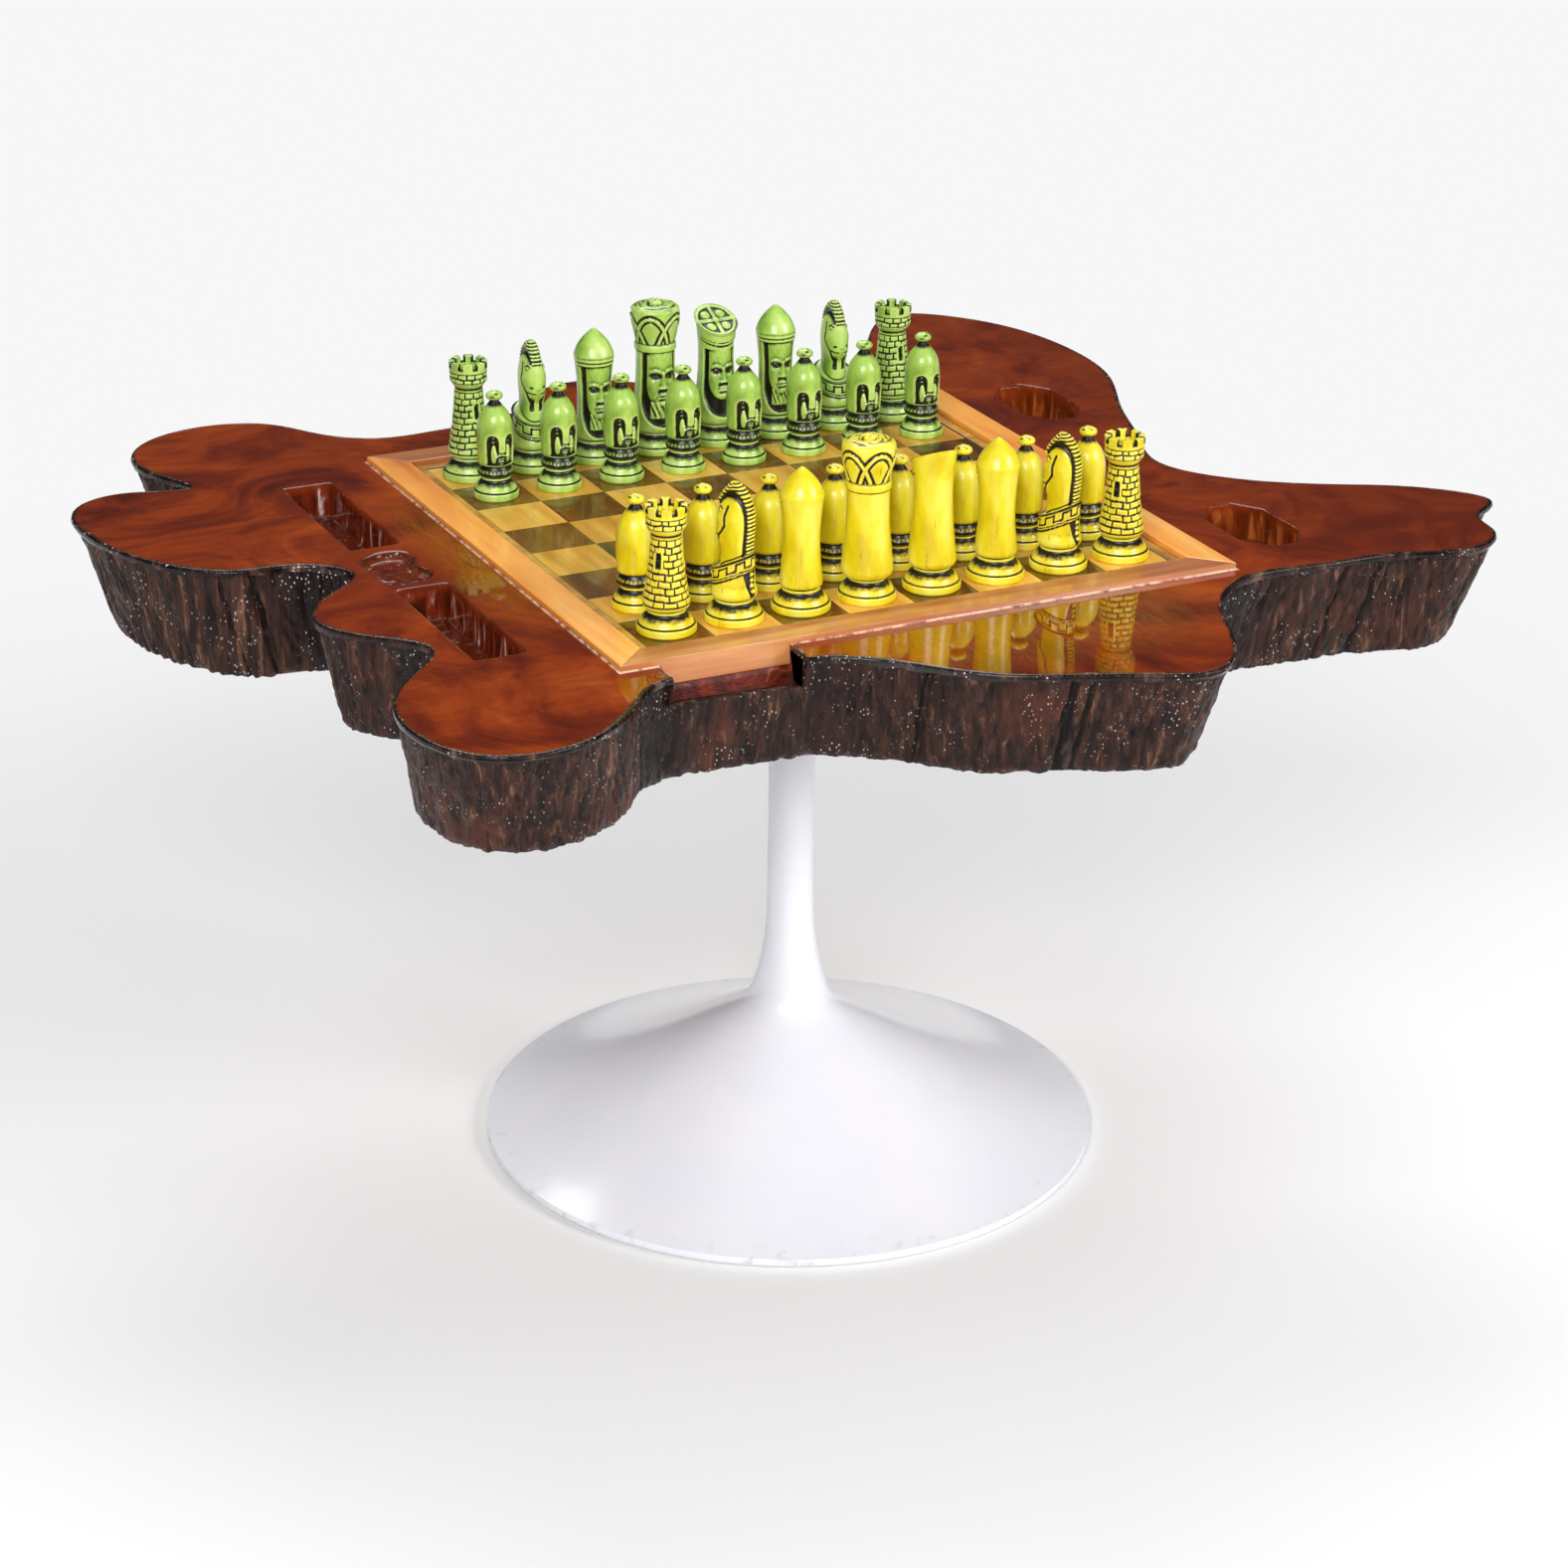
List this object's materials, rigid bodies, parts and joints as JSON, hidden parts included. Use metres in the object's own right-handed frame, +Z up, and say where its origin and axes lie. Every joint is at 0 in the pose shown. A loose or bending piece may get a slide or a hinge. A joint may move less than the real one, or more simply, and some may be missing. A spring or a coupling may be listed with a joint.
{
  "type": "chess table",
  "caption": "Low live-edge slab table on a trumpet pedestal, with a framed chessboard let into its resin-coated top, pockets beside it and a standing chess set.",
  "frame": {"origin": "on the floor, on the pedestal's axis", "axes": "+Z up; the board's files run along +Y, the yellow side nearest -Y; +X runs from file a to file h"},
  "size_m": [0.9732, 0.8237, 0.6195],
  "materials": {
    "slab_wood": "resin-soaked, gloss",
    "bark": "bark under gloss resin",
    "resin": "clear amber poured resin over wood, high gloss",
    "panel_ply": "plain plywood",
    "rail_wood": "orange-stained, gloss lacquer",
    "border_wood": "gloss lacquer",
    "dark_veneer": "gloss lacquer",
    "light_veneer": "gloss lacquer",
    "white_enamel": "white gloss enamel",
    "ring_plastic": "plain",
    "zinc_steel": "zinc plated",
    "screw_steel": "zinc plated",
    "yellow_glaze": "satin paint with black rubbed into the recesses",
    "green_glaze": "satin paint with black rubbed into the recesses"
  },
  "bodies": {
    "table": {"slab": "slab_wood", "bark_edge": "bark", "resin_coat": "resin", "board_panel": "panel_ply", "rail_front": "rail_wood", "rail_right": "rail_wood", "rail_back": "rail_wood", "rail_left": "rail_wood", "border_strips": "border_wood", "dark_squares": "dark_veneer", "light_squares": "light_veneer", "pedestal": "white_enamel", "foot_ring": "ring_plastic", "mounting_plate": "zinc_steel", "tie_rod": "zinc_steel", "rod_washer": "zinc_steel", "rod_nut": "zinc_steel", "plate_screws": "screw_steel"},
    "yellow_rook_a": {"yellow_rook_a": "yellow_glaze"},
    "yellow_knight_b": {"yellow_knight_b": "yellow_glaze"},
    "yellow_bishop_c": {"yellow_bishop_c": "yellow_glaze"},
    "yellow_king_d": {"yellow_king_d": "yellow_glaze"},
    "yellow_queen_e": {"yellow_queen_e": "yellow_glaze"},
    "yellow_bishop_f": {"yellow_bishop_f": "yellow_glaze"},
    "yellow_knight_g": {"yellow_knight_g": "yellow_glaze"},
    "yellow_rook_h": {"yellow_rook_h": "yellow_glaze"},
    "yellow_pawn_a": {"yellow_pawn_a": "yellow_glaze"},
    "yellow_pawn_b": {"yellow_pawn_b": "yellow_glaze"},
    "yellow_pawn_c": {"yellow_pawn_c": "yellow_glaze"},
    "yellow_pawn_d": {"yellow_pawn_d": "yellow_glaze"},
    "yellow_pawn_e": {"yellow_pawn_e": "yellow_glaze"},
    "yellow_pawn_f": {"yellow_pawn_f": "yellow_glaze"},
    "yellow_pawn_g": {"yellow_pawn_g": "yellow_glaze"},
    "yellow_pawn_h": {"yellow_pawn_h": "yellow_glaze"},
    "green_rook_a": {"green_rook_a": "green_glaze"},
    "green_knight_b": {"green_knight_b": "green_glaze"},
    "green_bishop_c": {"green_bishop_c": "green_glaze"},
    "green_king_d": {"green_king_d": "green_glaze"},
    "green_queen_e": {"green_queen_e": "green_glaze"},
    "green_bishop_f": {"green_bishop_f": "green_glaze"},
    "green_knight_g": {"green_knight_g": "green_glaze"},
    "green_rook_h": {"green_rook_h": "green_glaze"},
    "green_pawn_a": {"green_pawn_a": "green_glaze"},
    "green_pawn_b": {"green_pawn_b": "green_glaze"},
    "green_pawn_c": {"green_pawn_c": "green_glaze"},
    "green_pawn_d": {"green_pawn_d": "green_glaze"},
    "green_pawn_e": {"green_pawn_e": "green_glaze"},
    "green_pawn_f": {"green_pawn_f": "green_glaze"},
    "green_pawn_g": {"green_pawn_g": "green_glaze"},
    "green_pawn_h": {"green_pawn_h": "green_glaze"}
  },
  "joints": [
    {"name": "lift_yellow_rook_a", "type": "slide", "parent": "table", "child": "yellow_rook_a", "axis": [0, 0, 1], "range_m": [0, 0.125]},
    {"name": "lift_yellow_knight_b", "type": "slide", "parent": "table", "child": "yellow_knight_b", "axis": [0, 0, 1], "range_m": [0, 0.125]},
    {"name": "lift_yellow_bishop_c", "type": "slide", "parent": "table", "child": "yellow_bishop_c", "axis": [0, 0, 1], "range_m": [0, 0.125]},
    {"name": "lift_yellow_king_d", "type": "slide", "parent": "table", "child": "yellow_king_d", "axis": [0, 0, 1], "range_m": [0, 0.125]},
    {"name": "lift_yellow_queen_e", "type": "slide", "parent": "table", "child": "yellow_queen_e", "axis": [0, 0, 1], "range_m": [0, 0.125]},
    {"name": "lift_yellow_bishop_f", "type": "slide", "parent": "table", "child": "yellow_bishop_f", "axis": [0, 0, 1], "range_m": [0, 0.125]},
    {"name": "lift_yellow_knight_g", "type": "slide", "parent": "table", "child": "yellow_knight_g", "axis": [0, 0, 1], "range_m": [0, 0.125]},
    {"name": "lift_yellow_rook_h", "type": "slide", "parent": "table", "child": "yellow_rook_h", "axis": [0, 0, 1], "range_m": [0, 0.125]},
    {"name": "lift_yellow_pawn_a", "type": "slide", "parent": "table", "child": "yellow_pawn_a", "axis": [0, 0, 1], "range_m": [0, 0.125]},
    {"name": "lift_yellow_pawn_b", "type": "slide", "parent": "table", "child": "yellow_pawn_b", "axis": [0, 0, 1], "range_m": [0, 0.125]},
    {"name": "lift_yellow_pawn_c", "type": "slide", "parent": "table", "child": "yellow_pawn_c", "axis": [0, 0, 1], "range_m": [0, 0.125]},
    {"name": "lift_yellow_pawn_d", "type": "slide", "parent": "table", "child": "yellow_pawn_d", "axis": [0, 0, 1], "range_m": [0, 0.125]},
    {"name": "lift_yellow_pawn_e", "type": "slide", "parent": "table", "child": "yellow_pawn_e", "axis": [0, 0, 1], "range_m": [0, 0.125]},
    {"name": "lift_yellow_pawn_f", "type": "slide", "parent": "table", "child": "yellow_pawn_f", "axis": [0, 0, 1], "range_m": [0, 0.125]},
    {"name": "lift_yellow_pawn_g", "type": "slide", "parent": "table", "child": "yellow_pawn_g", "axis": [0, 0, 1], "range_m": [0, 0.125]},
    {"name": "lift_yellow_pawn_h", "type": "slide", "parent": "table", "child": "yellow_pawn_h", "axis": [0, 0, 1], "range_m": [0, 0.125]},
    {"name": "lift_green_rook_a", "type": "slide", "parent": "table", "child": "green_rook_a", "axis": [0, 0, 1], "range_m": [0, 0.125]},
    {"name": "lift_green_knight_b", "type": "slide", "parent": "table", "child": "green_knight_b", "axis": [0, 0, 1], "range_m": [0, 0.125]},
    {"name": "lift_green_bishop_c", "type": "slide", "parent": "table", "child": "green_bishop_c", "axis": [0, 0, 1], "range_m": [0, 0.125]},
    {"name": "lift_green_king_d", "type": "slide", "parent": "table", "child": "green_king_d", "axis": [0, 0, 1], "range_m": [0, 0.125]},
    {"name": "lift_green_queen_e", "type": "slide", "parent": "table", "child": "green_queen_e", "axis": [0, 0, 1], "range_m": [0, 0.125]},
    {"name": "lift_green_bishop_f", "type": "slide", "parent": "table", "child": "green_bishop_f", "axis": [0, 0, 1], "range_m": [0, 0.125]},
    {"name": "lift_green_knight_g", "type": "slide", "parent": "table", "child": "green_knight_g", "axis": [0, 0, 1], "range_m": [0, 0.125]},
    {"name": "lift_green_rook_h", "type": "slide", "parent": "table", "child": "green_rook_h", "axis": [0, 0, 1], "range_m": [0, 0.125]},
    {"name": "lift_green_pawn_a", "type": "slide", "parent": "table", "child": "green_pawn_a", "axis": [0, 0, 1], "range_m": [0, 0.125]},
    {"name": "lift_green_pawn_b", "type": "slide", "parent": "table", "child": "green_pawn_b", "axis": [0, 0, 1], "range_m": [0, 0.125]},
    {"name": "lift_green_pawn_c", "type": "slide", "parent": "table", "child": "green_pawn_c", "axis": [0, 0, 1], "range_m": [0, 0.125]},
    {"name": "lift_green_pawn_d", "type": "slide", "parent": "table", "child": "green_pawn_d", "axis": [0, 0, 1], "range_m": [0, 0.125]},
    {"name": "lift_green_pawn_e", "type": "slide", "parent": "table", "child": "green_pawn_e", "axis": [0, 0, 1], "range_m": [0, 0.125]},
    {"name": "lift_green_pawn_f", "type": "slide", "parent": "table", "child": "green_pawn_f", "axis": [0, 0, 1], "range_m": [0, 0.125]},
    {"name": "lift_green_pawn_g", "type": "slide", "parent": "table", "child": "green_pawn_g", "axis": [0, 0, 1], "range_m": [0, 0.125]},
    {"name": "lift_green_pawn_h", "type": "slide", "parent": "table", "child": "green_pawn_h", "axis": [0, 0, 1], "range_m": [0, 0.125]}
  ]
}
